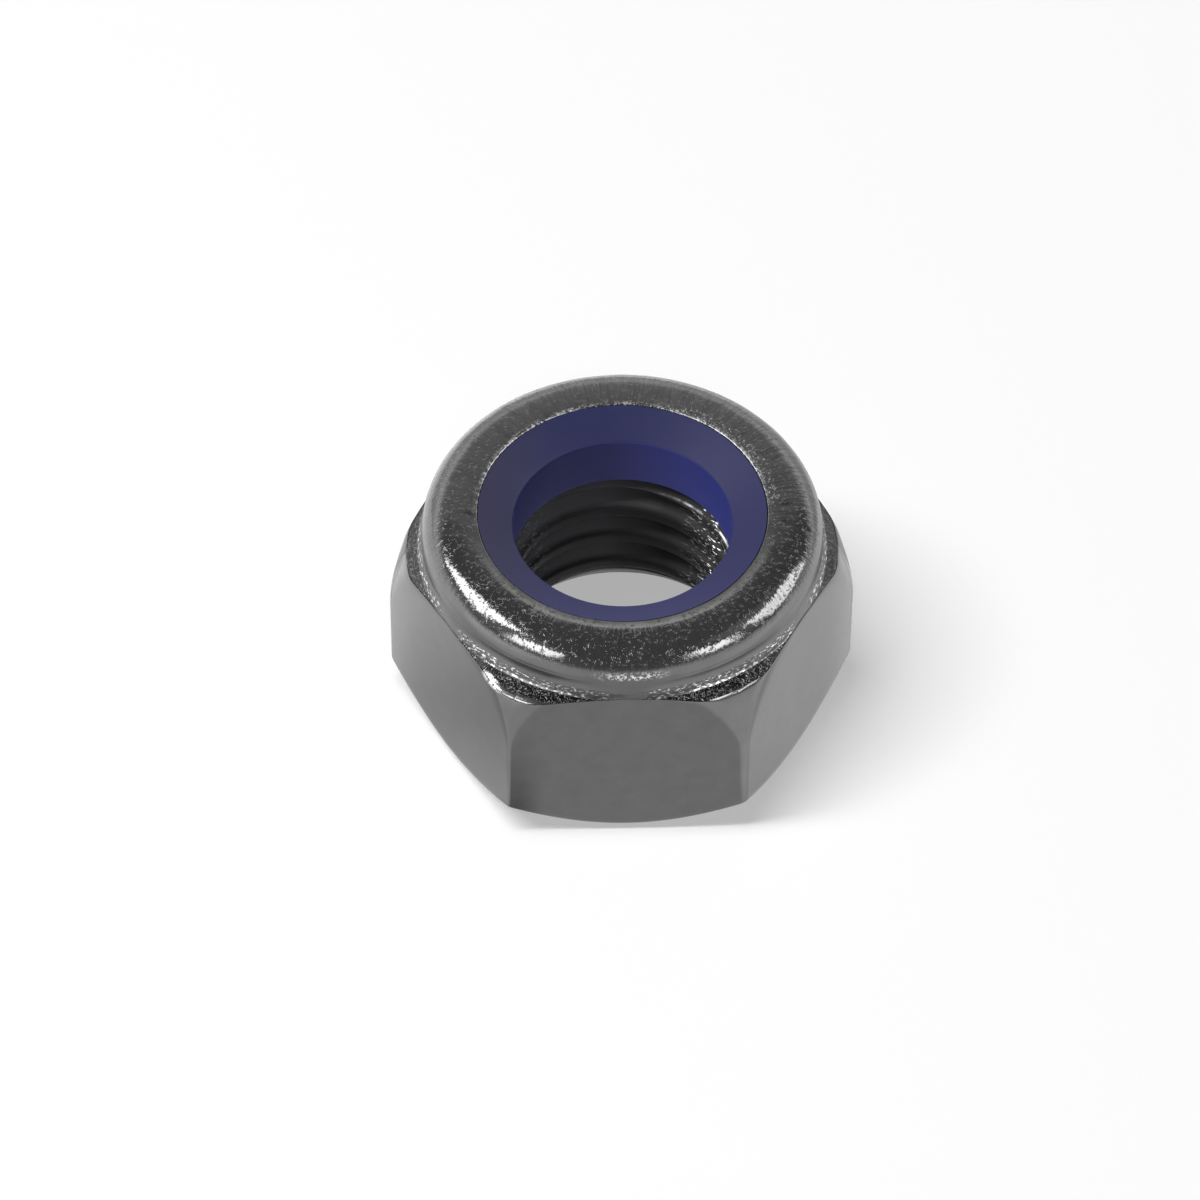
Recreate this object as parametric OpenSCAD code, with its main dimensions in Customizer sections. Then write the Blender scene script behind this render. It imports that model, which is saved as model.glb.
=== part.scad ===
// Hexagon lock nut with a captive nylon ring, size M8.
// The steel body is cold forged in one piece: a hexagon with a thin round collar on top.
// The nylon ring drops into the collar, and the collar's rim is then rolled in over it.
// All sizes are in millimetres. The origin is the centre of the bearing face, and the
// thread's axis runs up along Z, towards the nylon ring. Two flats face along Y.

/* [Hexagon] */
// Width across the flats, the spanner size
across_flats = 13; // [11.5:0.1:15]
// Height of the whole nut
nut_height = 8; // [7:0.1:10]
// How far the die leaves each corner short of a sharp one
corner_underfill = 0.066; // [0.03:0.002:0.25]
// How far the bearing face stays inside the flats
bearing_inset = 0.3; // [0.1:0.05:0.8]
// Slope of the chamfer round the bearing face, in degrees
chamfer_angle = 42; // [20:1:50]
// Height over which the corners curve in below the collar
crown_fall = 2.65; // [1.8:0.05:3]
// Radius of that curve
crown_curve_r = 5.8; // [5:0.1:12]

/* [Shelf under the collar] */
// Slope of the forged shelf left on each corner, in degrees
shelf_angle = 29; // [10:1:45]
// How far the foot of the collar stands out past the flats
foot_proud = 0.02; // [0.01:0.01:0.1]
// Slope of the foot's flared side, in degrees
foot_angle = 61; // [45:1:75]

/* [Collar] */
// Height of the collar above its foot
collar_height = 1.65; // [1.4:0.05:2.2]
// How far the collar's side stays inside the flats
collar_inset = 0.12; // [0.08:0.01:0.3]
// Wall left between the collar's side and the nylon ring
collar_wall = 1.03; // [0.7:0.01:1.3]
// Radius of the groove pressed in below the rolled rim
neck_curve_r = 0.45; // [0.3:0.01:0.6]
// Depth of that groove
neck_depth = 0.06; // [0.04:0.01:0.15]
// Height of the groove's middle above the foot
neck_rise = 0.45; // [0.4:0.01:0.5]

/* [Rolled rim] */
// Radius of the roll on the outside
roll_r = 0.92; // [0.6:0.02:0.95]
// Radius of the flatter curve on top, from the roll in to the opening
rim_curve_r = 5.4; // [3:0.1:12]
// How far the rim reaches in over the nylon ring
rim_reach = 0.757; // [0.4:0.001:1]
// Thickness of the rim at the opening
rim_thickness = 0.35; // [0.2:0.01:0.5]
// Slope of the rim's underside, in degrees
rim_under_angle = 38; // [20:1:45]

/* [Thread] */
// Outside diameter of the screw
thread_d = 8; // [6:0.1:8.4]
// How much smaller the drilled core is than the screw
core_allowance = 1.2; // [1:0.05:1.4]
// How much wider than the screw the countersink in the bearing face is
entry_extra = 0.78; // [0.1:0.02:1]
// Full angle of that countersink, in degrees
entry_angle = 70; // [60:5:120]
// How much wider than the screw the countersink below the nylon ring is
exit_extra = 0.5; // [0.1:0.05:0.7]
// Full angle of that countersink, in degrees
exit_angle = 110; // [90:5:120]

/* [Nylon ring] */
// Depth of the ring's seat below the top of the nut
seat_depth = 2.45; // [2.2:0.05:2.8]
// How much smaller the ring's bore is than the screw, so that the thread bites into it
ring_grip = 1.04; // [0.7:0.02:1.4]
// Slope of the ring's dished top, in degrees
dish_angle = 26.5; // [5:0.5:30]
// How far the ring's top lies below the edge of the opening
ring_set_down = 0.01; // [0:0.01:0.1]
// Gap between the ring and the steel round it
ring_gap = 0.02; // [0:0.01:0.05]

/* [Hidden] */
$fn = 96;

// A cutting shape runs this far past the face that it cuts
overrun = 1;

// Hexagon
flat_r = across_flats / 2;
sharp_corner_r = across_flats / sqrt(3);
corner_r = sharp_corner_r - corner_underfill;
bearing_r = flat_r - bearing_inset;
chamfer_top = (corner_r - bearing_r) * tan(chamfer_angle);
foot_z = nut_height - collar_height;
crown_z = foot_z - crown_fall;

// Collar, from its foot up to the rolled rim
foot_r = flat_r + foot_proud;
collar_r = flat_r - collar_inset;
foot_top_z = foot_z + (foot_r - collar_r) * tan(foot_angle);
neck_center_r = collar_r - neck_depth + neck_curve_r;
neck_center_z = foot_z + neck_rise;
roll_center_r = collar_r - roll_r;
roll_center_z = nut_height - roll_r;

// Recess that holds the ring, and the opening that the rim leaves
recess_r = collar_r - collar_wall;
opening_r = recess_r - rim_reach;
opening_top_z = nut_height - rim_curve_r + sqrt(pow(rim_curve_r, 2) - pow(roll_center_r - opening_r, 2));
rim_under_z = opening_top_z - rim_thickness;
recess_top_z = rim_under_z - rim_reach * tan(rim_under_angle);
seat_z = nut_height - seat_depth;

// Threaded bore
core_r = (thread_d - core_allowance) / 2;
entry_r = (thread_d + entry_extra) / 2;
entry_depth = (entry_r - core_r) / tan(entry_angle / 2);
entry_flare = overrun * tan(entry_angle / 2);
exit_r = (thread_d + exit_extra) / 2;
exit_depth = (exit_r - core_r) / tan(exit_angle / 2);

// Nylon ring
ring_bore_r = (thread_d - ring_grip) / 2;
ring_neck_r = opening_r - ring_gap;
ring_top_z = opening_top_z - ring_set_down;
dish_z = ring_top_z - (ring_neck_r - ring_bore_r) * tan(dish_angle);

// Half section of the hexagon's outside: bearing face, chamfer and upright corner
module corner_section() {
    polygon([
        [0, 0],
        [bearing_r, 0],
        [corner_r, chamfer_top],
        [corner_r, crown_z],
        [0, crown_z],
    ]);
}

// Half section of the corners above: they curve in and end under the sloping shelf
module crown_section() {
    intersection() {
        translate([corner_r - crown_curve_r, crown_z])
            circle(r = crown_curve_r);
        polygon([
            [0, crown_z],
            [corner_r + overrun, crown_z],
            [corner_r + overrun, foot_z - (corner_r + overrun - foot_r) * tan(shelf_angle)],
            [foot_r, foot_z],
            [0, foot_z],
        ]);
    }
}

// Half section of the collar's side: flared foot, wall and the groove round it
module collar_section() {
    difference() {
        polygon([
            [0, foot_z],
            [foot_r, foot_z],
            [collar_r, foot_top_z],
            [collar_r, roll_center_z],
            [0, roll_center_z],
        ]);
        translate([neck_center_r, neck_center_z])
            circle(r = neck_curve_r);
    }
}

// Half section of the rolled rim: a tight curve outside and a flatter one on top
module rim_section() {
    intersection() {
        translate([roll_center_r, roll_center_z])
            circle(r = roll_r);
        translate([roll_center_r, roll_center_z])
            square(roll_r + overrun);
    }
    intersection() {
        translate([roll_center_r, nut_height - rim_curve_r])
            circle(r = rim_curve_r);
        translate([0, roll_center_z])
            square([roll_center_r, roll_r + overrun]);
    }
}

// Half section of everything cut out of the steel, from below to above
module bore_section() {
    polygon([
        [0, -overrun],
        [entry_r + entry_flare, -overrun],
        [core_r, entry_depth],
        [core_r, seat_z - exit_depth],
        [exit_r, seat_z],
        [recess_r, seat_z],
        [recess_r, recess_top_z],
        [opening_r, rim_under_z],
        [opening_r, nut_height + overrun],
        [0, nut_height + overrun],
    ]);
}

// Half section of the ring: square below, bevelled under the rim, dished on top
module ring_section() {
    polygon([
        [ring_bore_r, seat_z],
        [recess_r - ring_gap, seat_z],
        [recess_r - ring_gap, recess_top_z - ring_gap],
        [ring_neck_r, rim_under_z - ring_gap],
        [ring_neck_r, ring_top_z],
        [ring_bore_r, dish_z],
    ]);
}

// Steel body, in one piece
module nut_body() {
    color("#5a5a5c")
    difference() {
        intersection() {
            cylinder(h = nut_height, r = sharp_corner_r, $fn = 6);
            rotate_extrude() {
                corner_section();
                crown_section();
                collar_section();
                rim_section();
            }
        }
        rotate_extrude()
            bore_section();
    }
}

// Blue nylon ring that grips the screw
module nylon_ring() {
    color("#3c3d70")
    rotate_extrude()
        ring_section();
}

nut_body();
nylon_ring();
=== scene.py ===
import math

import bpy
import numpy as np
from mathutils import Matrix, Vector, noise


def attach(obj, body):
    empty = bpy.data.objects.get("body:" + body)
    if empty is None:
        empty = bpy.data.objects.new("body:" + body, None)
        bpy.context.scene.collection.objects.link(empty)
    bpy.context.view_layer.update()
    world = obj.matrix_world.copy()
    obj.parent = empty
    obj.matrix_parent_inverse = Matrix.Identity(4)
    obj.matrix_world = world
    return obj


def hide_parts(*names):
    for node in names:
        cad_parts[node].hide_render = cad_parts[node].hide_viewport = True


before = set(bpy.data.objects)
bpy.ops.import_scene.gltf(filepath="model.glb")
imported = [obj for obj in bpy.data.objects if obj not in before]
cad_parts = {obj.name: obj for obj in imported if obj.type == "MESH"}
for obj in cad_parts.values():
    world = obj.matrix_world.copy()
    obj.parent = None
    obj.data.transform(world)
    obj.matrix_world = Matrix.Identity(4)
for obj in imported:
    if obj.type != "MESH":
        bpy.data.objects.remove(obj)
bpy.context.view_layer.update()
scene = bpy.context.scene


# The steel body: hexagon, collar and rolled rim in one piece, cold forged from wire, tapped, and
# plated dark. The die leaves rough sloping shelves where the collar meets the corners, and the
# rolling tool burnishes the rim and scores it across.
MM = 0.001
FLAT_R, LAND_R = 6.5, 7.44
BEARING_R, CHAMFER = 6.2, math.radians(42)
CROWN_Z, CROWN_CURVE_R = 3.7, 5.8
FOOT_R, FOOT_Z, FOOT_ANGLE = 6.52, 6.35, math.radians(61)
# the collar's foot runs this far down inside the hexagon, and its flare ends below the second height
FOOT_SKIRT, FLARE_TOP_Z = 0.15, 6.62
SHELF_ANGLE, SHELF_EDGE_R = math.radians(29), 6.912
COLLAR_R = 6.38
GROOVE_Z, GROOVE_DEPTH, GROOVE_WIDTH = 6.8, 0.022, 0.24
ROLL_R, ROLL_Z, ROLL_CURVE_R = 5.46, 7.08, 0.92
TOP_Z, RIM_CURVE_R = 8.0, 5.4
OPENING_R, OPENING_EDGE, RIM_UNDER_Z = 4.593, 0.05, 7.58
RECESS_R, RECESS_TOP_Z, SEAT_Z = 5.35, 6.989, 5.55
PITCH, CREST_R, ROOT_R = 1.25, 3.4, 4.0
ENTRY_R, ENTRY_ANGLE = 4.39, math.radians(35)
EXIT_R, EXIT_ANGLE = 4.25, math.radians(55)
# widths over which the edges are rounded
CHAMFER_EDGE, SHELF_EDGE, FOOT_HOLLOW, COLLAR_HOLLOW = 0.05, 0.09, 0.1, 0.04
THREAD_EDGE, SINK_EDGE = 0.05, 0.03
FLAT_SIDE_EDGE, FLAT_TOP_EDGE, FLAT_TOP_Z, FLAT_TOP_RUN, FLAT_TOP_END = 0.05, 0.14, 4.2, 1.4, 0.3
# the front left corner, which the die filled best: how much wider, taller and flatter, and how much
# sharper its shelf's edge; and how much lower the shelves at the back were struck
FULL_CORNER, FULL_SPREAD = math.radians(240), math.radians(25)
FULL_WIDER, FULL_TALLER, FULL_FLATTER, FULL_SHARPER = 0.06, 0.4, math.radians(11), 0.05
BACK_LOWER = 0.07


def rounded_max(a, b, width):
    """The larger of two distances, blended over a width, which rounds an edge."""
    share = np.clip(0.5 + 0.5 * (a - b) / width, 0, 1)
    return b + (a - b) * share + width * share * (1 - share)


def rounded_min(a, b, width):
    return -rounded_max(-a, -b, width)


def fold_to_flat(angle):
    """Angle from the middle of the nearest flat."""
    sixth = math.pi / 3
    return (angle + sixth) % sixth - sixth / 2


def fuller(angle):
    """1 at the front left corner and 0 away from it."""
    return np.clip(1 - np.abs(angle - FULL_CORNER) / FULL_SPREAD, 0, 1) ** 0.5


def land_radius(angle):
    """Radius of the upright corners."""
    return LAND_R + FULL_WIDER * fuller(angle)


def crown_start(angle):
    """Height at which the corners begin to curve in."""
    return CROWN_Z + FULL_TALLER * fuller(angle)


def shelf_slope(angle):
    return SHELF_ANGLE - FULL_FLATTER * fuller(angle)


def outside_distance(r, angle, z):
    """Distance from the hexagon and the side of the collar, negative inside the steel."""
    flat = r * np.cos(fold_to_flat(angle)) - FLAT_R
    land = r - land_radius(angle)
    above_crown = np.maximum(z - crown_start(angle), 0)
    arc = np.hypot(np.maximum(land + CROWN_CURVE_R, 0), above_crown) - CROWN_CURVE_R
    chamfer = (r - BEARING_R) * math.sin(CHAMFER) - z * math.cos(CHAMFER)
    sag = BACK_LOWER * np.clip(np.sin(angle), 0, 1) ** 0.5
    slope = shelf_slope(angle)
    shelf = (r - FOOT_R) * np.sin(slope) + (z + sag - FOOT_Z) * np.cos(slope)
    foot = (r - FOOT_R) * math.sin(FOOT_ANGLE) + (z - FOOT_Z) * math.cos(FOOT_ANGLE)
    foot = np.maximum(foot, FOOT_Z - FOOT_SKIRT - z)
    groove = GROOVE_DEPTH * np.exp(-((z - GROOVE_Z) / GROOVE_WIDTH) ** 2)
    corner = rounded_max(np.maximum(land, arc), chamfer, CHAMFER_EDGE)
    corner = rounded_max(corner, shelf, SHELF_EDGE - FULL_SHARPER * fuller(angle))
    wall = np.maximum(r - COLLAR_R + groove, FOOT_Z - FOOT_SKIRT - z)
    collar = rounded_min(wall, foot, FOOT_HOLLOW)
    # the die rounds the flats' upper ends more than their sides
    at_top = np.clip((z - FLAT_TOP_Z) / FLAT_TOP_RUN, 0, 1) * np.clip((FOOT_Z - z) / FLAT_TOP_END, 0, 1)
    soft = FLAT_SIDE_EDGE + FLAT_TOP_EDGE * at_top
    return rounded_max(rounded_min(corner, collar, COLLAR_HOLLOW), flat, soft)


# columns round the axis, closer together where the edges of the flats run, 18 to 30 degrees from
# the middle of each flat
steps = np.radians(np.concatenate([
    np.linspace(0, 18, 15, endpoint=False),
    np.linspace(18, 27.6, 12, endpoint=False),
    np.linspace(27.6, 30, 6, endpoint=False),
]))
sector = np.concatenate([steps, [math.radians(30)], math.radians(60) - steps[:0:-1]])
angles = np.concatenate([sector + math.radians(60 * i + 30) for i in range(6)])
angles = np.sort(angles % (2 * math.pi))
columns = len(angles)


def close_at_ends(count):
    """Shares from 0 to 1, closer together at both ends."""
    return 0.5 - 0.5 * np.cos(np.linspace(0, math.pi, count, endpoint=False))


# heights at which the rows follow the edges of each column
land_r, slope = land_radius(angles), shelf_slope(angles)
reach = np.minimum(FLAT_R / np.cos(fold_to_flat(angles)), land_r)
chamfer_z = (reach - BEARING_R) * math.tan(CHAMFER)
shelf_r = np.minimum(reach, SHELF_EDGE_R)
shelf_z = FOOT_Z - (shelf_r - FOOT_R) * np.where(shelf_r > FOOT_R, np.tan(slope), math.tan(FOOT_ANGLE))
curve_reach = np.clip(CROWN_CURVE_R - land_r + reach, 0, CROWN_CURVE_R)
arc_z = crown_start(angles) + np.sqrt(CROWN_CURVE_R ** 2 - curve_reach ** 2)
arc_z = np.minimum(arc_z, shelf_z - 0.08)
foot_row_z = np.maximum(FOOT_Z, shelf_z + 0.03)
stops = [np.zeros(columns), chamfer_z, arc_z, shelf_z, foot_row_z,
         np.full(columns, FLARE_TOP_Z), np.full(columns, ROLL_Z)]
counts = [6, 16, 16, 12, 7, 12]
side_z = np.concatenate(
    [low[:, None] + (high - low)[:, None] * close_at_ends(n)[None, :]
     for low, high, n in zip(stops[:-1], stops[1:], counts)] + [np.full((columns, 1), ROLL_Z)], axis=1)

# the radius of each point is found by halving the span between one inside and one outside
within, beyond = np.full(side_z.shape, 5.6), np.full(side_z.shape, 8.2)
for _ in range(34):
    middle = (within + beyond) / 2
    is_steel = outside_distance(middle, angles[:, None], side_z) < 0
    within, beyond = np.where(is_steel, middle, within), np.where(is_steel, beyond, middle)
side_r = (within + beyond) / 2

# the rest of the half section: roll, top of the rim, its edge, the inside, and the bearing face
turn = np.linspace(0, math.pi / 2, 27)[1:]
roll = np.stack([ROLL_R + ROLL_CURVE_R * np.cos(turn), ROLL_Z + ROLL_CURVE_R * np.sin(turn)], 1)
top_r = np.linspace(ROLL_R, OPENING_R + OPENING_EDGE, 12)[1:]
top = np.stack([top_r, TOP_Z - RIM_CURVE_R + np.sqrt(RIM_CURVE_R ** 2 - (ROLL_R - top_r) ** 2)], 1)
turn = np.linspace(0, math.pi / 2, 6)[1:]
lip_edge = np.stack([OPENING_R + OPENING_EDGE * (1 - np.sin(turn)),
                     top[-1, 1] - OPENING_EDGE * (1 - np.cos(turn))], 1)
inside = np.array([
    [OPENING_R, 7.72], [OPENING_R, RIM_UNDER_Z],
    [4.85, 7.379], [5.1, 7.184], [RECESS_R, RECESS_TOP_Z],
    [RECESS_R, 6.5], [RECESS_R, 6.0], [RECESS_R, SEAT_Z],
    [4.98, SEAT_Z], [4.6, SEAT_Z], [EXIT_R, SEAT_Z],
])
bearing_face = np.array([[ENTRY_R, 0], [4.5, 0], [5.3, 0], [6.0, 0], [BEARING_R - 0.03, 0]])


def for_every_column(points):
    return np.repeat(points[None], columns, 0)


section = np.concatenate([
    for_every_column(bearing_face), np.stack([side_r, side_z], 2), for_every_column(roll),
    for_every_column(top), for_every_column(lip_edge), for_every_column(inside)], 1)
rows = section.shape[1]
first_side, first_roll = len(bearing_face), len(bearing_face) + side_z.shape[1]
last_lip = first_roll + len(roll) + len(top) + len(lip_edge)
shelf_first = first_side + counts[0] + counts[1] + counts[2]
foot_first = shelf_first + counts[3]
shelf_last = foot_first + counts[4]

# shares of each point: 1 on the hexagon, the forged shelves, the foot above them, and the rolled rim
row = np.arange(rows)[None, :]
from_middle = np.abs(fold_to_flat(angles))
off_middle = np.clip((from_middle - math.radians(3)) / math.radians(5), 0, 1)[:, None]
rim = np.clip((row - first_roll - 3) / 9, 0, 1) * (row < last_lip) + 0 * off_middle
hexagon = (row < shelf_first) + 0 * off_middle
forged = ((row >= shelf_first) & (row < foot_first)) * off_middle
foot_band = ((row >= foot_first) & (row < shelf_last + 1)) * off_middle
# the die leaves the flats crowned by a hair, which shows as a change of tone towards the corners
CROWN_OF_FLAT = 0.0009
end_share = 0.25 + 0.75 * np.clip((np.abs(np.cos(angles)) - 0.5) / 0.45, 0, 1)
hair = -CROWN_OF_FLAT * (FLAT_R * np.tan(fold_to_flat(angles))) ** 4 * end_share
hair = np.broadcast_to(hair[:, None], (columns, rows))

cos_a, sin_a = np.cos(angles)[:, None], np.sin(angles)[:, None]
place = np.stack([section[..., 0] * cos_a, section[..., 0] * sin_a, section[..., 1]], 2)


def grid_normals(points):
    """Normals of a grid that is closed round the axis."""
    along = np.roll(points, -1, 0) - np.roll(points, 1, 0)
    across = np.gradient(points, axis=1)
    n = np.cross(along, across)
    return n / np.maximum(np.linalg.norm(n, axis=2, keepdims=True), 1e-12)


def grain(points, size, seed):
    """Smooth noise from -1 to 1 whose lumps are of a size in millimetres."""
    flat = points.reshape(-1, 3)
    values = [noise.noise(Vector((p[0] / size + seed, p[1] / size, p[2] / size))) for p in flat]
    return np.array(values).reshape(points.shape[:-1])


normals = grid_normals(place)

# knocks and small pits on the rim, from the bin and the rolling tool, only ever inwards
KNOCKS = 50
from_roll = slice(first_roll - 3, last_lip)
lip = place[:, from_roll]
depth = np.zeros(lip.shape[:2])
rng = np.random.default_rng(8)
for _ in range(KNOCKS):
    c, k = rng.integers(0, columns), rng.integers(0, lip.shape[1])
    size = rng.uniform(0.07, 0.2)
    sizes_away = np.linalg.norm(lip - lip[c, k], axis=2) / size
    depth += rng.uniform(0.02, 0.07) * size * np.exp(-sizes_away ** 2 * 2)
depth += 0.005 * (1 + grain(lip, 0.45, 3.0)) + 0.006 * (1 + grain(lip, 1.6, 9.0))
place[:, from_roll] -= normals[:, from_roll] * depth[..., None]

# the shelves keep the pitted skin of the forging
on_shelves = slice(shelf_first, shelf_last)
pits = place[:, on_shelves]
skin = 0.008 * (1 + grain(pits, 0.13, 5.0)) + 0.008 * (1 + grain(pits, 0.3, 7.0))
place[:, on_shelves] -= normals[:, on_shelves] * skin[..., None]

# the thread: helical lines run up the bore, close together where its profile bends
bends = np.array([0, 0.09, 0.135, 0.165, 0.2, 0.27, 0.36, 0.44, 0.49, 0.53, 0.58])
offsets = np.unique(np.concatenate([bends, PITCH - bends[1:], [PITCH / 2]]))
per_pitch = len(offsets)
CLEAR_OF_ENDS = 0.012


def thread_radius(angle, z):
    """Radius of the bore: thread crests, flanks and roots, opened by both countersinks."""
    from_crest = np.abs((z - PITCH * angle / (2 * math.pi) + PITCH / 2) % PITCH - PITCH / 2)
    flank = CREST_R + (from_crest - PITCH / 8) * math.tan(math.radians(60))
    r = rounded_min(rounded_max(flank, CREST_R, THREAD_EDGE), ROOT_R, THREAD_EDGE)
    entry = ENTRY_R - z * math.tan(ENTRY_ANGLE)
    leave = EXIT_R - (SEAT_Z - z) * math.tan(EXIT_ANGLE)
    return rounded_max(rounded_max(r, entry, SINK_EDGE), leave, SINK_EDGE)


# each column's line up the bore: height, which helical line it lies on, and which vertex it is
verts = list(map(tuple, place.reshape(-1, 3)))
bore = []
for j, angle in enumerate(angles):
    lift = PITCH * angle / (2 * math.pi)
    line = [(0.0, None, j * rows)]
    for turn_number in range(-2, 6):
        for k, offset in enumerate(offsets):
            z = turn_number * PITCH + offset + lift
            if CLEAR_OF_ENDS < z < SEAT_Z - CLEAR_OF_ENDS:
                r = float(thread_radius(angle, np.array(z)))
                line.append((z, turn_number * per_pitch + k, len(verts)))
                verts.append((r * math.cos(angle), r * math.sin(angle), z))
    line.append((SEAT_Z, None, j * rows + rows - 1))
    bore.append(line)

# four-sided faces where two columns lie on the same helical lines, and three-sided ones at the ends
faces = []
for j in range(columns):
    a, b = j * rows, (j + 1) % columns * rows
    faces += [(a + i, b + i, b + i + 1, a + i + 1) for i in range(rows - 1)]
    left, right = bore[j], bore[(j + 1) % columns]
    shift = 0 if j + 1 < columns else -per_pitch
    i = k = 0
    while i < len(left) - 1 or k < len(right) - 1:
        left_done, right_done = i == len(left) - 1, k == len(right) - 1
        if not (left_done or right_done):
            next_left, next_right = left[i + 1][1], right[k + 1][1]
            both_tops = next_left is None and next_right is None
            both_thread = next_left is not None and next_right is not None
            if both_tops or both_thread and next_left == next_right + shift:
                faces.append((left[i][2], left[i + 1][2], right[k + 1][2], right[k][2]))
                i, k = i + 1, k + 1
                continue
        if right_done or not left_done and left[i + 1][0] < right[k + 1][0]:
            faces.append((left[i][2], left[i + 1][2], right[k][2]))
            i += 1
        else:
            faces.append((left[i][2], right[k + 1][2], right[k][2]))
            k += 1

CREASE = math.radians(38)
steel_mesh = bpy.data.meshes.new("steel_nut")
steel_mesh.from_pydata([tuple(c * MM for c in v) for v in verts], [], faces)
for name, share, on_thread in (("rim", rim, 0), ("hexagon", hexagon, 0), ("forged", forged, 0),
                               ("foot_band", foot_band, 0), ("hair", hair, 0), ("tapped", 0 * rim, 1)):
    values = np.full(len(verts), on_thread, np.float32)
    values[:columns * rows] = share.ravel()
    steel_mesh.attributes.new(name, "FLOAT", "POINT").data.foreach_set("value", values)
steel_mesh.shade_smooth()
steel_mesh.set_sharp_from_angle(angle=CREASE)
steel = bpy.data.objects.new("steel_nut", steel_mesh)
scene.collection.objects.link(steel)


def linear(hex_colour):
    """A linear colour from an sRGB hex value."""
    parts = [int(hex_colour[i:i + 2], 16) / 255 for i in (1, 3, 5)]
    return [c / 12.92 if c <= 0.04045 else ((c + 0.055) / 1.055) ** 2.4 for c in parts] + [1.0]


def add(tree, kind, sockets=None, **settings):
    """Adds a node with its settings and links. A socket takes a number, a colour, another node's
    output, or another node, of which it takes the first output in use."""
    made = tree.nodes.new("ShaderNode" + kind)
    for name, value in settings.items():
        setattr(made, name, value)
    for name, value in (sockets or {}).items():
        if isinstance(value, bpy.types.Node):
            value = next(output for output in value.outputs if output.enabled)
        if isinstance(value, bpy.types.NodeSocket):
            tree.links.new(value, made.inputs[name])
        else:
            made.inputs[name].default_value = value
    return made


def new_material(name):
    material = bpy.data.materials.new(name)
    material.use_nodes = True
    material.node_tree.nodes.clear()
    return material, material.node_tree


# Dark nickel-like plating on forged steel: a metal that mirrors the pale floor as mid grey and the
# dim ceiling as near black. It is satin on the flats, scored across on the rim, pitted on the shelves.
dark_plating, tree = new_material("dark_plated_forged_steel")
at = add(tree, "TexCoord").outputs["Object"]
mm_at = add(tree, "VectorMath", {0: at, "Scale": 1 / MM}, operation="SCALE")
x_mm, y_mm, z_mm = add(tree, "SeparateXYZ", {0: mm_at}).outputs
on_rim, on_hexagon, on_shelf, on_foot, in_bore, hair_height = [
    add(tree, "Attribute", attribute_name=name).outputs["Fac"]
    for name in ("rim", "hexagon", "forged", "foot_band", "tapped", "hair")]
flat_at = add(tree, "CombineXYZ", {0: x_mm, 1: y_mm})
away = add(tree, "VectorMath", {0: flat_at}, operation="NORMALIZE")
radius = add(tree, "VectorMath", {0: flat_at}, operation="LENGTH")


def overlap(tree, *shares):
    """The share of the surface that has several marks at once."""
    all_of_them = shares[0]
    for share in shares[1:]:
        all_of_them = add(tree, "Math", {0: all_of_them, 1: share}, operation="MULTIPLY")
    return all_of_them


def patches(tree, place, per_mm, low, high, detail=2.0, roughness=0.5):
    """Ragged patches, from 0 where the noise is low to 1 where it is high."""
    lumps = add(tree, "TexNoise", {
        "Vector": place, "Scale": per_mm, "Detail": detail, "Roughness": roughness})
    return add(tree, "MapRange", {"Value": lumps, "From Min": low, "From Max": high})


def line_at(tree, level, value, inner, outer):
    """A soft line where a value passes a level: 1 within inner of it, 0 beyond outer."""
    off = add(tree, "Math", {0: value, 1: level}, operation="SUBTRACT")
    off = add(tree, "Math", {0: off}, operation="ABSOLUTE")
    return add(tree, "MapRange", {"Value": off, "From Min": outer, "From Max": inner})


def worm_lines(tree, place, per_mm, inner, outer):
    """Thin worm-like lines, where noise crosses its middle."""
    lumps = add(tree, "TexNoise", {"Vector": place, "Scale": per_mm, "Detail": 2.0, "Roughness": 0.55})
    return line_at(tree, 0.5, lumps, inner, outer)


def spot_at(tree, point, inner, outer):
    """A soft round spot: 1 within inner millimetres of a point, 0 beyond outer."""
    off = add(tree, "VectorMath", {0: mm_at, 1: point}, operation="DISTANCE")
    return add(tree, "MapRange", {"Value": off, "From Min": outer, "From Max": inner})


def coat(tree, below, above, *shares):
    """One colour laid over another where all the shares meet. A colour is a hex value or a node."""
    below, above = (linear(colour) if isinstance(colour, str) else colour for colour in (below, above))
    return add(tree, "Mix", {0: overlap(tree, *shares), 6: below, 7: above}, data_type="RGBA")


# where round the nut a mark lies
near_side = add(tree, "MapRange", {"Value": y_mm, "From Min": 0.0, "From Max": -3.2})
far_side = add(tree, "MapRange", {"Value": y_mm, "From Min": -0.8, "From Max": 1.6})
right_of_bore = add(tree, "MapRange", {"Value": x_mm, "From Min": 1.9, "From Max": 2.9})
left_of_bore = add(tree, "MapRange", {"Value": x_mm, "From Min": -2.2, "From Max": -2.8})

# scores 0.07 mm apart across the rim, bent a little: 90 steps of noise to a radian
score_at = add(tree, "VectorMath", {0: away, "Scale": 90.0}, operation="SCALE")
score_bend = add(tree, "VectorMath", {0: mm_at, "Scale": 1.3}, operation="SCALE")
score_at = add(tree, "VectorMath", {0: score_at, 1: score_bend}, operation="ADD")
scores = add(tree, "TexNoise", {"Vector": score_at, "Scale": 1.0, "Detail": 3.0, "Roughness": 0.62})

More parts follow.
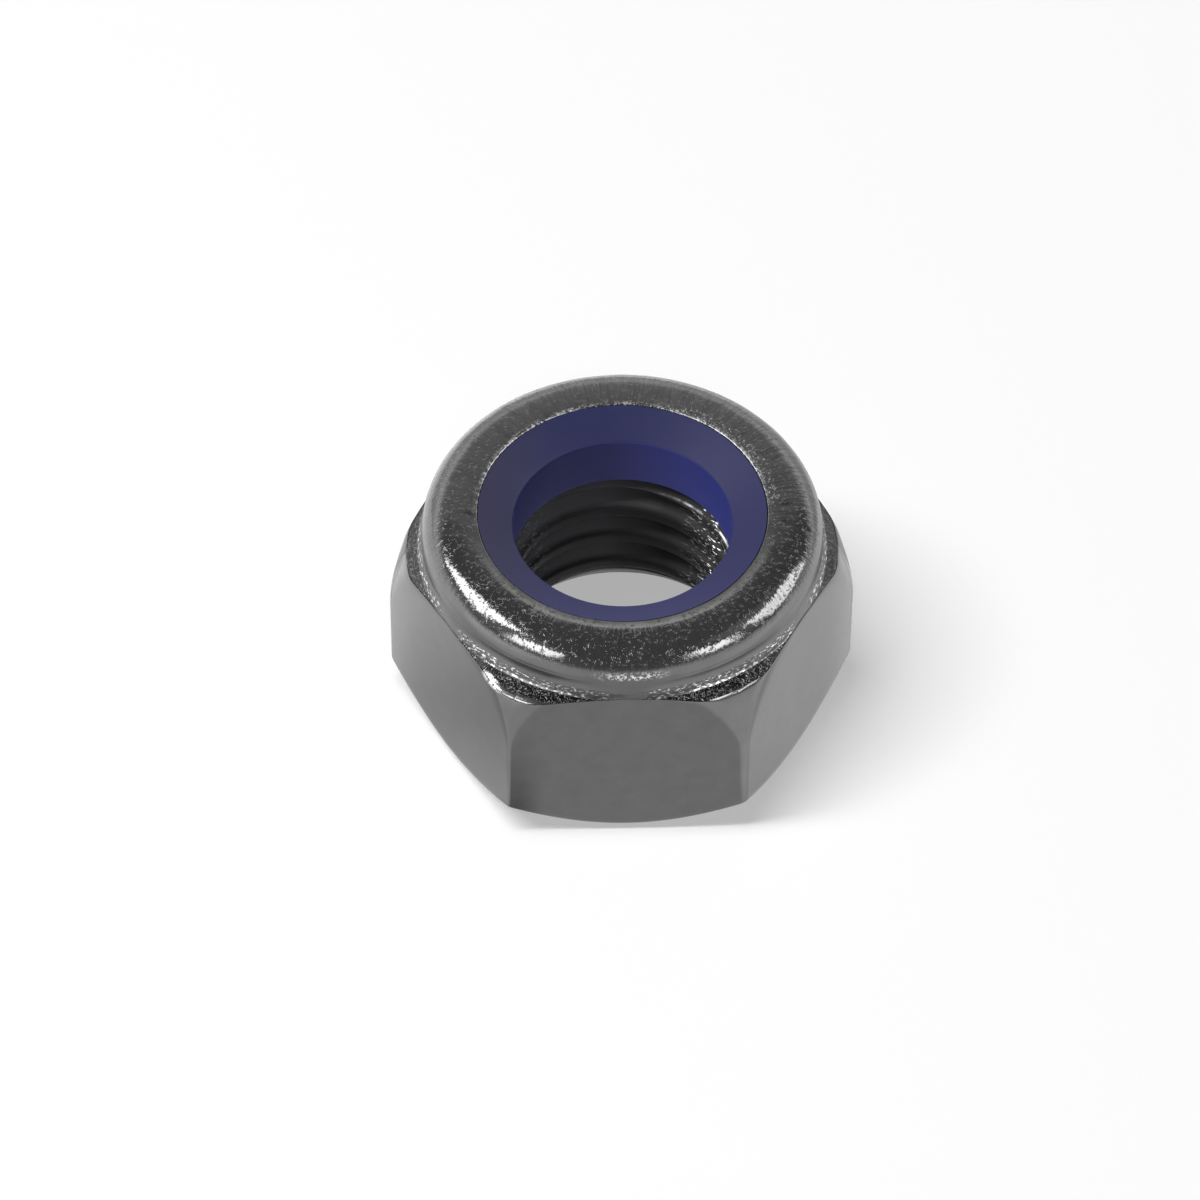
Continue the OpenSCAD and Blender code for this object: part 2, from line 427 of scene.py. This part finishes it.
# specks 0.03 to 0.06 mm wide, thicker in some places than in others, pits 0.1 mm wide, and a few
# fine cracks round one knock on the left
specks = overlap(
    tree, patches(tree, mm_at, 16.0, 0.65, 0.75, 3.0, 0.7), patches(tree, mm_at, 0.9, 0.5, 0.72, 3.0))
dark_pits = patches(tree, mm_at, 7.0, 0.58, 0.7, 3.0, 0.6)
cracks = overlap(tree, worm_lines(tree, mm_at, 1.6, 0.003, 0.008), patches(tree, mm_at, 1.1, 0.5, 0.56),
                 spot_at(tree, (-3.6, -4.0, 7.9), 1.2, 2.2))
bright = overlap(tree, add(tree, "Math", {0: specks, 1: cracks}, operation="MAXIMUM"), on_rim)

# forged skin, worm-like ridges 0.1 mm apart, fainter at both sides and on the right
skin_bend = add(tree, "TexNoise", {"Vector": mm_at, "Scale": 5.0, "Detail": 2.0}).outputs["Color"]
skin_at = add(tree, "VectorMath", {0: skin_bend, 1: (0.16, 0.16, 0.16), 2: mm_at}, operation="MULTIPLY_ADD")
off_centre = add(tree, "Math", {0: x_mm}, operation="ABSOLUTE")
at_side = add(tree, "MapRange", {"Value": off_centre, "From Min": 5.2, "From Max": 6.2})
worms = overlap(
    tree, worm_lines(tree, skin_at, 11.0, 0.014, 0.05), patches(tree, skin_at, 9.0, 0.42, 0.56),
    add(tree, "MapRange", {"Value": at_side, "To Min": 1.0, "To Max": 0.35}),
    add(tree, "MapRange", {"Value": x_mm, "From Min": -1.0, "From Max": 1.5, "To Min": 1.0, "To Max": 0.62}))

# flecks drawn out along the foot of the collar, 0.15 mm long and 0.05 mm high
height_at = add(tree, "CombineXYZ", {2: z_mm})
foot_at = add(tree, "VectorMath", {0: height_at, 1: (0, 0, 22.0)}, operation="MULTIPLY")
foot_at = add(tree, "VectorMath", {0: away, 1: (44.0, 44.0, 44.0), 2: foot_at}, operation="MULTIPLY_ADD")
flecks = patches(tree, foot_at, 1.0, 0.54, 0.7, 3.0, 0.6)

# bright streaks along the thread, 0.03 mm wide and 0.2 mm long, on both sides: bare tap cuts on the right
# and painted glints on the left
cut_at = add(tree, "VectorMath", {0: away, "Scale": 16.0}, operation="SCALE")
cut_at = add(tree, "VectorMath", {0: height_at, 1: (0, 0, 42.0), 2: cut_at}, operation="MULTIPLY_ADD")
sides = add(tree, "Math", {0: right_of_bore, 1: left_of_bore}, operation="MAXIMUM")
cuts_and_glints = overlap(tree, patches(tree, cut_at, 1.0, 0.58, 0.64, 3.0, 0.6), in_bore, sides)
# and a painted glint along the edge where the countersink meets the first thread, on the right
EDGE_Z = 5.07
edge_side = add(tree, "MapRange", {"Value": x_mm, "From Min": 0.9, "From Max": 2.4})
countersink_edge_glint = overlap(tree, line_at(tree, EDGE_Z, z_mm, 0.008, 0.03), edge_side,
                    patches(tree, away, 9.0, 0.4, 0.6), in_bore)
cuts_and_glints = add(tree, "Math", {0: cuts_and_glints, 1: countersink_edge_glint}, operation="MAXIMUM")

# mottle of the plating, 0.5 mm and up
colour = coat(tree, "#626262", "#686868", patches(tree, mm_at, 1.4, 0.3, 0.7, 4.0, 0.6))
# the rim's scores are darker and lighter by turns, most on the right
dark_scores = add(tree, "MapRange", {"Value": scores, "From Min": 0.42, "From Max": 0.58})
scored = add(tree, "MapRange", {
    "Value": x_mm, "From Min": 3.0, "From Max": 5.0, "To Min": 0.22, "To Max": 0.6})
colour = coat(tree, colour, "#484848", dark_scores, on_rim, scored)
colour = coat(tree, colour, "#484848", dark_pits, on_rim, 0.35)
colour = coat(tree, colour, "#c8c8c8", bright, 0.5)
# painted shade on a band beside the ring, on the near side, 0.35 mm wide, with a faint olive tint
ragged = add(tree, "TexNoise", {"Vector": mm_at, "Scale": 2.2, "Detail": 5.0, "Roughness": 0.7})
ragged = add(tree, "Math", {0: ragged, 1: 0.5, 2: radius}, operation="MULTIPLY_ADD")
painted_shade_near_band = add(tree, "MapRange", {"Value": ragged, "From Min": 5.15, "From Max": 4.95})
painted_shade_near_band = overlap(tree, painted_shade_near_band, near_side, on_rim)
colour = coat(tree, colour, "#403f3c", painted_shade_near_band, 0.55)
# a painted highlight along the far edge of the rim, broken up, and wider, in specks, on
# the right
far_edge_highlight = add(tree, "MapRange", {"Value": radius, "From Min": 4.78, "From Max": 4.66})
far_edge_highlight = overlap(tree, far_edge_highlight, far_side, patches(tree, mm_at, 8.0, 0.44, 0.62, 3.0, 0.7))
wide_edge_highlight = add(tree, "MapRange", {"Value": ragged, "From Min": 5.35, "From Max": 4.91})
wide_side = add(tree, "MapRange", {"Value": x_mm, "From Min": 0.4, "From Max": 2.6})
wide_edge_highlight = overlap(tree, wide_edge_highlight, far_side, wide_side, patches(tree, mm_at, 14.0, 0.47, 0.66, 3.0, 0.7))
far_edge_highlight = overlap(tree, add(tree, "Math", {0: far_edge_highlight, 1: wide_edge_highlight}, operation="MAXIMUM"), on_rim)
colour = coat(tree, colour, "#c8c8c8", far_edge_highlight, 0.75)
# painted highlight flecks low on the front of the rim, 0.1 mm long
FLECKS_Z = 7.26
front_highlight_flecks = overlap(tree, spot_at(tree, (0.1, -6.34, 7.16), 0.35, 1.3),
               line_at(tree, FLECKS_Z, z_mm, 0.05, 0.18), patches(tree, mm_at, 11.0, 0.5, 0.56, 3.0, 0.7))
colour = coat(tree, colour, "#e0e0e0", front_highlight_flecks)
# the shelves are dark between their ridges, and the foot above them is flecked
shelf = coat(tree, coat(tree, "#202020", "#3a3a3a", at_side), "#b0b0b0", worms)
colour = coat(tree, colour, shelf, on_shelf)
colour = coat(tree, colour, coat(tree, "#585858", "#ececec", flecks), on_foot)

# a painted highlight on the edge of the front left shelf, 0.9 mm long and 0.25 mm wide:
# distance along the edge counts for 0.7 less than distance across it
EDGE_ALONG, COUNTS_LESS = Vector((0.5, -0.866, 0.0)), 0.7
shelf_edge_highlight = add(tree, "VectorMath", {0: mm_at, 1: (-4.25, -5.44, 6.13)}, operation="SUBTRACT")
along_edge = add(tree, "VectorMath", {0: shelf_edge_highlight, 1: EDGE_ALONG}, operation="DOT_PRODUCT")
along_edge = add(tree, "VectorMath", {0: -COUNTS_LESS * EDGE_ALONG, "Scale": along_edge}, operation="SCALE")
shelf_edge_highlight = add(tree, "VectorMath", {0: shelf_edge_highlight, 1: along_edge}, operation="ADD")
shelf_edge_highlight = add(tree, "VectorMath", {0: shelf_edge_highlight}, operation="LENGTH")
shelf_edge_highlight = add(tree, "MapRange", {"Value": shelf_edge_highlight, "From Min": 0.18, "From Max": 0.08})
# it stays above the shelf's own slope
over_shelf = add(tree, "Math", {0: radius, 1: math.tan(SHELF_ANGLE), 2: z_mm}, operation="MULTIPLY_ADD")
over_shelf = add(tree, "MapRange", {"Value": over_shelf, "From Min": 9.83, "From Max": 9.87})
off_foot = add(tree, "Math", {0: 1.0, 1: on_foot}, operation="SUBTRACT")
shelf_edge_highlight = overlap(tree, shelf_edge_highlight, over_shelf, patches(tree, mm_at, 7.0, 0.36, 0.5, 3.0), off_foot)
colour = coat(tree, colour, "#e4e4e4", shelf_edge_highlight)

# the tapped bore is painted nearly black as painted shade, blacker towards the lit right side, and lighter
# up the thread's flanks as painted light where the crests shade them
lit_side = add(tree, "MapRange", {"Value": x_mm, "From Min": -0.5, "From Max": 1.5, "To Max": 0.75})
up_the_thread = add(tree, "MapRange", {"Value": radius, "From Min": 3.47, "From Max": 3.63})
bore_painted_light_and_shade = coat(tree, coat(tree, "#3b3b3b", "#0c0c0c", lit_side), "#797979", up_the_thread)
bore_painted_light_and_shade = coat(tree, bore_painted_light_and_shade, "#202020", lit_side)
colour = coat(tree, colour, coat(tree, bore_painted_light_and_shade, "#b0b0b0", cuts_and_glints), in_bore)
plated = add(tree, "Math", {0: 1.0, 1: in_bore}, operation="SUBTRACT")
bare_cuts = overlap(tree, cuts_and_glints, right_of_bore)
metal = add(tree, "Math", {0: plated, 1: bare_cuts}, operation="MAXIMUM")

# each finish has its own gloss
rough = add(tree, "Mix", {0: on_hexagon, 2: 0.32, 3: 0.2})
rough_rim = add(tree, "MapRange", {"Value": dark_pits, "To Min": 0.1, "To Max": 0.2})
# the painted highlights on the rim's far edge and front take their own gloss
painted_highlights = add(tree, "Math", {0: far_edge_highlight, 1: front_highlight_flecks}, operation="MAXIMUM")
for share, finish in ((on_rim, rough_rim), (bright, 0.5), (on_shelf, 0.3), (on_foot, 0.32),
                      (painted_shade_near_band, 0.3), (painted_highlights, 0.5), (in_bore, 0.5), (cuts_and_glints, 0.34)):
    rough = add(tree, "Mix", {0: share, 2: rough, 3: finish})

# each score leans the surface a little in or out, so that a highlight on the rim ends in fine teeth
LEAN = 0.18
normal = add(tree, "NewGeometry").outputs["Normal"]
along_rim = add(tree, "VectorMath", {0: (0, 0, 1), 1: away}, operation="CROSS_PRODUCT")
across_rim = add(tree, "VectorMath", {0: normal, 1: along_rim}, operation="CROSS_PRODUCT")
lean = overlap(tree, add(tree, "MapRange", {"Value": scores, "To Min": -LEAN, "To Max": LEAN}),
               add(tree, "MapRange", {"Value": far_side, "To Min": 1.0, "To Max": 0.5}), on_rim)
lean = add(tree, "VectorMath", {0: across_rim, "Scale": lean}, operation="SCALE")
relief = add(tree, "VectorMath", {0: normal, 1: lean}, operation="ADD")
relief = add(tree, "VectorMath", {0: relief}, operation="NORMALIZE")

# reliefs laid on each other: the flats' crown; the rim's roll down towards the ring over the last
# 0.4 mm; the satin grain of the plating; specks and pits; and the ridges of the shelves
roll_in = add(tree, "MapRange", {
    "Value": radius, "From Min": 4.6, "From Max": 4.98, "To Min": -0.032, "To Max": 0.0},
    interpolation_type="SMOOTHSTEP")
satin = add(tree, "TexNoise", {"Vector": mm_at, "Scale": 16.0, "Detail": 2.0})
specks_and_pits = overlap(tree, add(tree, "Math", {0: specks, 1: dark_pits}, operation="SUBTRACT"), on_rim)
for height, strength, distance in (
        (hair_height, on_hexagon, MM), (roll_in, overlap(tree, on_rim, near_side), MM),
        (satin, 0.12, 0.01 * MM), (specks_and_pits, 1.0, 0.008 * MM),
        (overlap(tree, worms, on_shelf), 1.0, 0.02 * MM)):
    relief = add(tree, "Bump", {
        "Height": height, "Strength": strength, "Distance": distance, "Normal": relief})

shader = add(tree, "BsdfPrincipled", {
    "Base Color": colour, "Metallic": metal, "Roughness": rough, "Specular IOR Level": 0.06,
    "Normal": relief})
add(tree, "OutputMaterial", {"Surface": shader})
steel_mesh.materials.append(dark_plating)
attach(steel, "root")
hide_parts("nut_body")


# The ring: blue nylon, cut from tube, dropped on its seat in the collar and held by the rolled
# rim, which squeezes its top into a dish. The screw cuts its own way through the bore.
BORE_R, RING_R, NECK_R = 3.48, 5.33, 4.588
DISH_Z, BEVEL_Z, BEVEL_TOP_Z, RING_TOP_Z = 7.375, 6.969, 7.56, 7.92
RING_COLUMNS = 320
# radius and height of each corner of the half section, and how far it is rounded
ring_corners = [
    (BORE_R, SEAT_Z, 0.03), (BORE_R, DISH_Z, 0.06), (NECK_R, RING_TOP_Z, 0.03),
    (NECK_R, BEVEL_TOP_Z, 0.0), (RING_R, BEVEL_Z, 0.02), (RING_R, SEAT_Z, 0.05),
]


def round_corners(corners, steps_on_corner, longest):
    """A closed half section: each corner is rounded by its own radius, and long sides are divided."""
    out = []
    for i, (r, z, size) in enumerate(corners):
        here = np.array([r, z])
        before, after = np.array(corners[i - 1][:2]), np.array(corners[(i + 1) % len(corners)][:2])
        if size:
            a = here + (before - here) / np.linalg.norm(before - here) * size
            b = here + (after - here) / np.linalg.norm(after - here) * size
            for t in np.linspace(0, 1, steps_on_corner):
                out.append((1 - t) ** 2 * a + 2 * t * (1 - t) * here + t * t * b)
        else:
            out.append(here)
    divided = []
    for i, p in enumerate(out):
        q = out[(i + 1) % len(out)]
        count = max(1, math.ceil(np.linalg.norm(q - p) / longest))
        divided += [p + (q - p) * t / count for t in range(count)]
    return np.array(divided)


ring_section = round_corners(ring_corners, 6, 0.16)
ring_rows = len(ring_section)
ring_angles = np.linspace(0, 2 * math.pi, RING_COLUMNS, endpoint=False)[:, None]
ring_place = np.stack([ring_section[:, 0] * np.cos(ring_angles), ring_section[:, 0] * np.sin(ring_angles),
                       np.repeat(ring_section[None, :, 1], RING_COLUMNS, 0)], 2)
ring_faces = []
for j in range(RING_COLUMNS):
    a, b = j * ring_rows, (j + 1) % RING_COLUMNS * ring_rows
    for i in range(ring_rows):
        n = (i + 1) % ring_rows
        ring_faces.append((a + i, a + n, b + n, b + i))
ring_mesh = bpy.data.meshes.new("blue_ring")
ring_mesh.from_pydata(list(map(tuple, ring_place.reshape(-1, 3) * MM)), [], ring_faces)
ring_mesh.shade_smooth()
ring_mesh.set_sharp_from_angle(angle=CREASE)
ring = bpy.data.objects.new("blue_ring", ring_mesh)
scene.collection.objects.link(ring)

# Nylon 66 dyed dark indigo, extruded and parted off: opaque, satin, with faint turning lines
indigo_nylon, tree = new_material("indigo_turned_nylon")
at = add(tree, "TexCoord").outputs["Object"]
mm_at = add(tree, "VectorMath", {0: at, "Scale": 1 / MM}, operation="SCALE")
x_mm, y_mm, z_mm = add(tree, "SeparateXYZ", {0: mm_at}).outputs
flat_at = add(tree, "CombineXYZ", {0: x_mm, 1: y_mm})
radius = add(tree, "VectorMath", {0: flat_at}, operation="LENGTH")
# painted shade makes the colour a little darker at the back and on the right, and a painted sheen makes it
# greyer on the left
painted_shade_back = add(tree, "MapRange", {"Value": y_mm, "From Min": -4.4, "From Max": 4.4})
painted_sheen_left = add(tree, "MapRange", {"Value": x_mm, "From Min": -2.0, "From Max": -4.4, "To Max": 0.75})
painted_shade_right = add(tree, "MapRange", {"Value": x_mm, "From Min": 1.0, "From Max": 3.8, "To Max": 0.65})
cloud = add(tree, "TexNoise", {"Vector": mm_at, "Scale": 0.7, "Detail": 3.0})
dish = coat(tree, "#3d3e65", "#282b52", painted_shade_back)
dish = coat(tree, dish, "#353246", painted_sheen_left)
dish = coat(tree, dish, "#55557c", cloud, 0.12)
dish = coat(tree, dish, "#252750", painted_shade_right)
# light that enters the nylon from the side leaves through the thin wall of the bore, a stronger blue
in_wall = add(tree, "MapRange", {"Value": radius, "From Min": 3.5, "From Max": 3.482})
to_right = add(tree, "MapRange", {"Value": x_mm, "From Min": 0.0, "From Max": 3.3})
colour = coat(tree, dish, coat(tree, "#4c4f92", "#3f48a0", to_right), in_wall)
# turning lines 0.06 mm apart
lathe_at = add(tree, "CombineXYZ", {0: radius, 1: z_mm})
lathe = add(tree, "TexNoise", {"Vector": lathe_at, "Scale": 16.0, "Detail": 1.0})
relief = add(tree, "Bump", {"Height": lathe, "Strength": 0.06, "Distance": 0.01 * MM})
shader = add(tree, "BsdfPrincipled", {
    "Base Color": colour, "Roughness": 0.5, "IOR": 1.53, "Specular IOR Level": 0.13, "Normal": relief})
add(tree, "OutputMaterial", {"Surface": shader})
ring_mesh.materials.append(indigo_nylon)
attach(ring, "root")
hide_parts("nylon_ring")


# The floor: a plain white sheet of paper board under the nut. It shows white to the camera and in
# the metal, and keeps the nut's shadow.
FLOOR_HALF, FLOOR_DROP = 2.0, 0.000006
floor_corners = [(x * FLOOR_HALF, y * FLOOR_HALF, -FLOOR_DROP)
                 for x, y in ((-1, -1), (1, -1), (1, 1), (-1, 1))]
floor_mesh = bpy.data.meshes.new("studio_floor")
floor_mesh.from_pydata(floor_corners, [], [(0, 1, 2, 3)])
floor = bpy.data.objects.new("studio_floor", floor_mesh)
scene.collection.objects.link(floor)

# White paper board, calendered smooth: matt, even and without grain at this distance
paper, tree = new_material("white_paper_board")
path = add(tree, "LightPath").outputs
floor_at = add(tree, "TexCoord").outputs["Object"]
floor_x, floor_y = add(tree, "SeparateXYZ", {0: floor_at}).outputs[:2]


def patch(strength, *edges):
    """A patch of the board that glows by a strength. Each edge gives what it is measured along, the
    place in millimetres where the patch starts, and the place where it is full."""
    return overlap(tree, strength, *[
        add(tree, "MapRange", {"Value": along, "From Min": starts * MM, "From Max": full * MM})
        for along, starts, full in edges])


# in the metal the floor is brighter to the front left and the right, and darker in a narrow strip
# by the left end of the front flat; further off it is brighter on the left and behind, and on the
# right but for the nut's shadow
to_left = add(tree, "Math", {0: floor_x, 1: -1.0}, operation="MULTIPLY")
to_left = add(tree, "Math", {0: floor_y, 1: 0.5, 2: to_left}, operation="MULTIPLY_ADD")
in_metal = 0.44
for part in (
        patch(0.33, (floor_x, -4.4, -5.1), (floor_y, -6.4, -6.8)),
        patch(0.4, (floor_x, 4.4, 5.0), (floor_y, -6.4, -6.8)),
        patch(-0.5, (floor_x, -2.6, -3.5), (floor_x, -4.75, -4.35), (floor_y, -10.5, -7.5)),
        patch(-0.25, (floor_x, -5.0, -7.5), (floor_y, 1.0, -3.0), (floor_y, -6.4, -6.0)),
        patch(0.07, (floor_x, 4.5, 6.5)),
        patch(0.9, (to_left, 7.0, 24.0)),
        patch(0.65, (floor_x, 12.0, 22.0), (floor_y, -22.0, -8.0), (floor_y, 28.0, 14.0))):
    in_metal = add(tree, "Math", {0: part, 1: in_metal}, operation="ADD")
glow = add(tree, "Math", {0: path["Is Glossy Ray"], 1: in_metal, 2: 0.36}, operation="MULTIPLY_ADD")
board = coat(tree, "#d6d6d6", "#808080", path["Is Glossy Ray"])
# under the bore the board lies in even shade
from_axis = add(tree, "VectorMath", {0: floor_at}, operation="LENGTH")
shaded = overlap(tree, patch(1.0, (from_axis, 4.8, 4.5)), path["Is Camera Ray"])
board = coat(tree, board, "#202020", shaded)
glow = add(tree, "Math", {0: shaded, 1: 0.054, 2: glow}, operation="MULTIPLY_ADD")
matt = add(tree, "BsdfDiffuse", {"Color": board})
light = add(tree, "Emission", {"Color": linear("#ffffff"), "Strength": glow})
add(tree, "OutputMaterial", {"Surface": add(tree, "AddShader", {0: matt, 1: light})})
floor_mesh.materials.append(paper)


# The room: white near the horizon and dimmer overhead, as the metal shows it, and plain white
# behind the nut.
world = bpy.data.worlds.new("studio_room")
world.use_nodes = True
tree = world.node_tree
tree.nodes.clear()
path = add(tree, "LightPath").outputs
towards = add(tree, "TexCoord").outputs["Generated"]
towards_x, towards_y, towards_z = add(tree, "SeparateXYZ", {0: towards}).outputs
# the dim ceiling comes lower in front than behind
height = add(tree, "Math", {0: towards_y, 1: -0.5, 2: towards_z}, operation="MULTIPLY_ADD")
height = add(tree, "Math", {0: towards_x, 1: 0.06, 2: height}, operation="MULTIPLY_ADD")
room = add(tree, "MapRange", {
    "Value": height, "From Min": 0.0, "From Max": 0.32, "To Min": 1.2, "To Max": 0.3},
    interpolation_type="SMOOTHSTEP")
soft = add(tree, "Mix", {0: path["Is Glossy Ray"], 2: 0.13, 3: room})
seen = add(tree, "Math", {0: path["Is Camera Ray"], 1: path["Is Transmission Ray"]}, operation="MAXIMUM")
level = add(tree, "Mix", {0: seen, 2: soft, 3: 1.0})
sky = add(tree, "Background", {"Color": linear("#ffffff"), "Strength": level})
add(tree, "OutputWorld", {"Surface": sky})
scene.world = world


# The lamps: a long soft light from overhead down to the left, which makes the shadow, and a soft
# box on each side, whose mirror images are the two bright bands on the rim.
def area_lamp(name, bearing, elevation, distance, width, height, radiance):
    """A rectangular lamp aimed at the nut, in metres. Bearing 0 is +X, 90 is +Y."""
    data = bpy.data.lights.new(name, "AREA")
    data.shape = "RECTANGLE"
    data.size, data.size_y = width, height
    data.energy = radiance * math.pi * width * height
    lamp = bpy.data.objects.new(name, data)
    b, e = math.radians(bearing), math.radians(elevation)
    away_from = Vector((math.cos(b) * math.cos(e), math.sin(b) * math.cos(e), math.sin(e)))
    lamp.location = away_from * distance
    lamp.rotation_euler = away_from.to_track_quat("Z", "Y").to_euler()
    scene.collection.objects.link(lamp)
    return lamp


overhead = area_lamp("overhead_strip", 189, 68, 0.42, 0.08, 0.33, 19.2)
overhead.visible_glossy = False
# a weak fill beside the lens opens up the dark of the bore
fill = area_lamp("front_fill", -92, 49, 0.35, 0.05, 0.05, 9.0)
fill.visible_glossy = False
boxes = [
    area_lamp("left_box", 168, 48, 0.5, 0.27, 0.26, 8.4),
    area_lamp("left_front_box", 222, 30, 0.5, 0.2, 0.22, 7.8),
    area_lamp("right_box", 4, 31, 0.5, 0.28, 0.28, 5.6),
    area_lamp("right_front_box", -43, 27, 0.5, 0.19, 0.18, 6.8),
    area_lamp("left_low_board", 160, 3, 0.5, 0.45, 0.1, 0.6),
    area_lamp("left_wall", 195, 38, 0.5, 0.45, 0.4, 0.3),
    area_lamp("right_wall", 0, 40, 0.5, 0.4, 0.4, 0.25),
]
# a pale card hung flat 20 mm over the floor behind the nut: the far side of the rim mirrors it and
# the near side misses it
card = area_lamp("card_behind", 90, 60, 0.02, 0.16, 0.044, 1.0)
card.location, card.rotation_euler = (0, 0.030, 0.02), (0, 0, 0)
card.data.use_nodes = True
tree = card.data.node_tree
tree.nodes.clear()
card_at = add(tree, "NewGeometry").outputs["Position"]
card_x, card_y = add(tree, "SeparateXYZ", {0: card_at}).outputs[:2]
aslant = add(tree, "MapRange", {
    "Value": card_x, "From Min": 8.0 * MM, "From Max": 58.0 * MM, "To Max": 20.0 * MM})
across = add(tree, "Math", {0: card_y, 1: aslant}, operation="SUBTRACT")
across = add(tree, "MapRange", {"Value": across, "From Min": 8.0 * MM, "From Max": 50.0 * MM})
shade = add(tree, "ValToRGB", {"Fac": across})
# where across the card, and how bright it is there
tones = ((0.03, 0.0), (0.075, 0.3), (0.17, 0.42), (0.26, 0.75), (0.33, 0.7), (0.6, 0.2), (1.0, 0.0))
while len(shade.color_ramp.elements) < len(tones):
    shade.color_ramp.elements.new(0.5)
for stop, (where, tone) in zip(shade.color_ramp.elements, tones):
    stop.position, stop.color = where, (tone, tone, tone, 1)
light = add(tree, "Emission", {"Strength": shade})
add(tree, "OutputLight", {"Surface": light})
for box in boxes + [card]:
    box.visible_diffuse = False


# The camera: in front of the nut and above it, 49 degrees up, with a long lens whose picture is
# 31,108 pixels to the metre at the nut.
BEARING, ELEVATION, ROLL = math.radians(-1.783), math.radians(48.978), math.radians(0.349)
DISTANCE, PIXELS_PER_M, IMAGE_WIDTH, SENSOR = 0.22, 31108.0, 1200, 36
target = Vector((-0.000696, 0, 0.003667))
back = Vector((math.sin(BEARING) * math.cos(ELEVATION), -math.cos(BEARING) * math.cos(ELEVATION),
               math.sin(ELEVATION)))
right = (-back).cross(Vector((0, 0, 1))).normalized()
up = right.cross(-back)
right, up = math.cos(ROLL) * right + math.sin(ROLL) * up, -math.sin(ROLL) * right + math.cos(ROLL) * up
lens_at = target + back * DISTANCE
camera_data = bpy.data.cameras.new("camera")
camera_data.sensor_width = SENSOR
camera_data.lens = PIXELS_PER_M * DISTANCE / IMAGE_WIDTH * SENSOR
camera_data.clip_start, camera_data.clip_end = 0.005, 20
camera = bpy.data.objects.new("camera", camera_data)
camera.matrix_world = Matrix(((right.x, up.x, back.x, lens_at.x), (right.y, up.y, back.y, lens_at.y),
                              (right.z, up.z, back.z, lens_at.z), (0, 0, 0, 1)))
scene.collection.objects.link(camera)
scene.camera = camera
scene.view_settings.view_transform = "Standard"
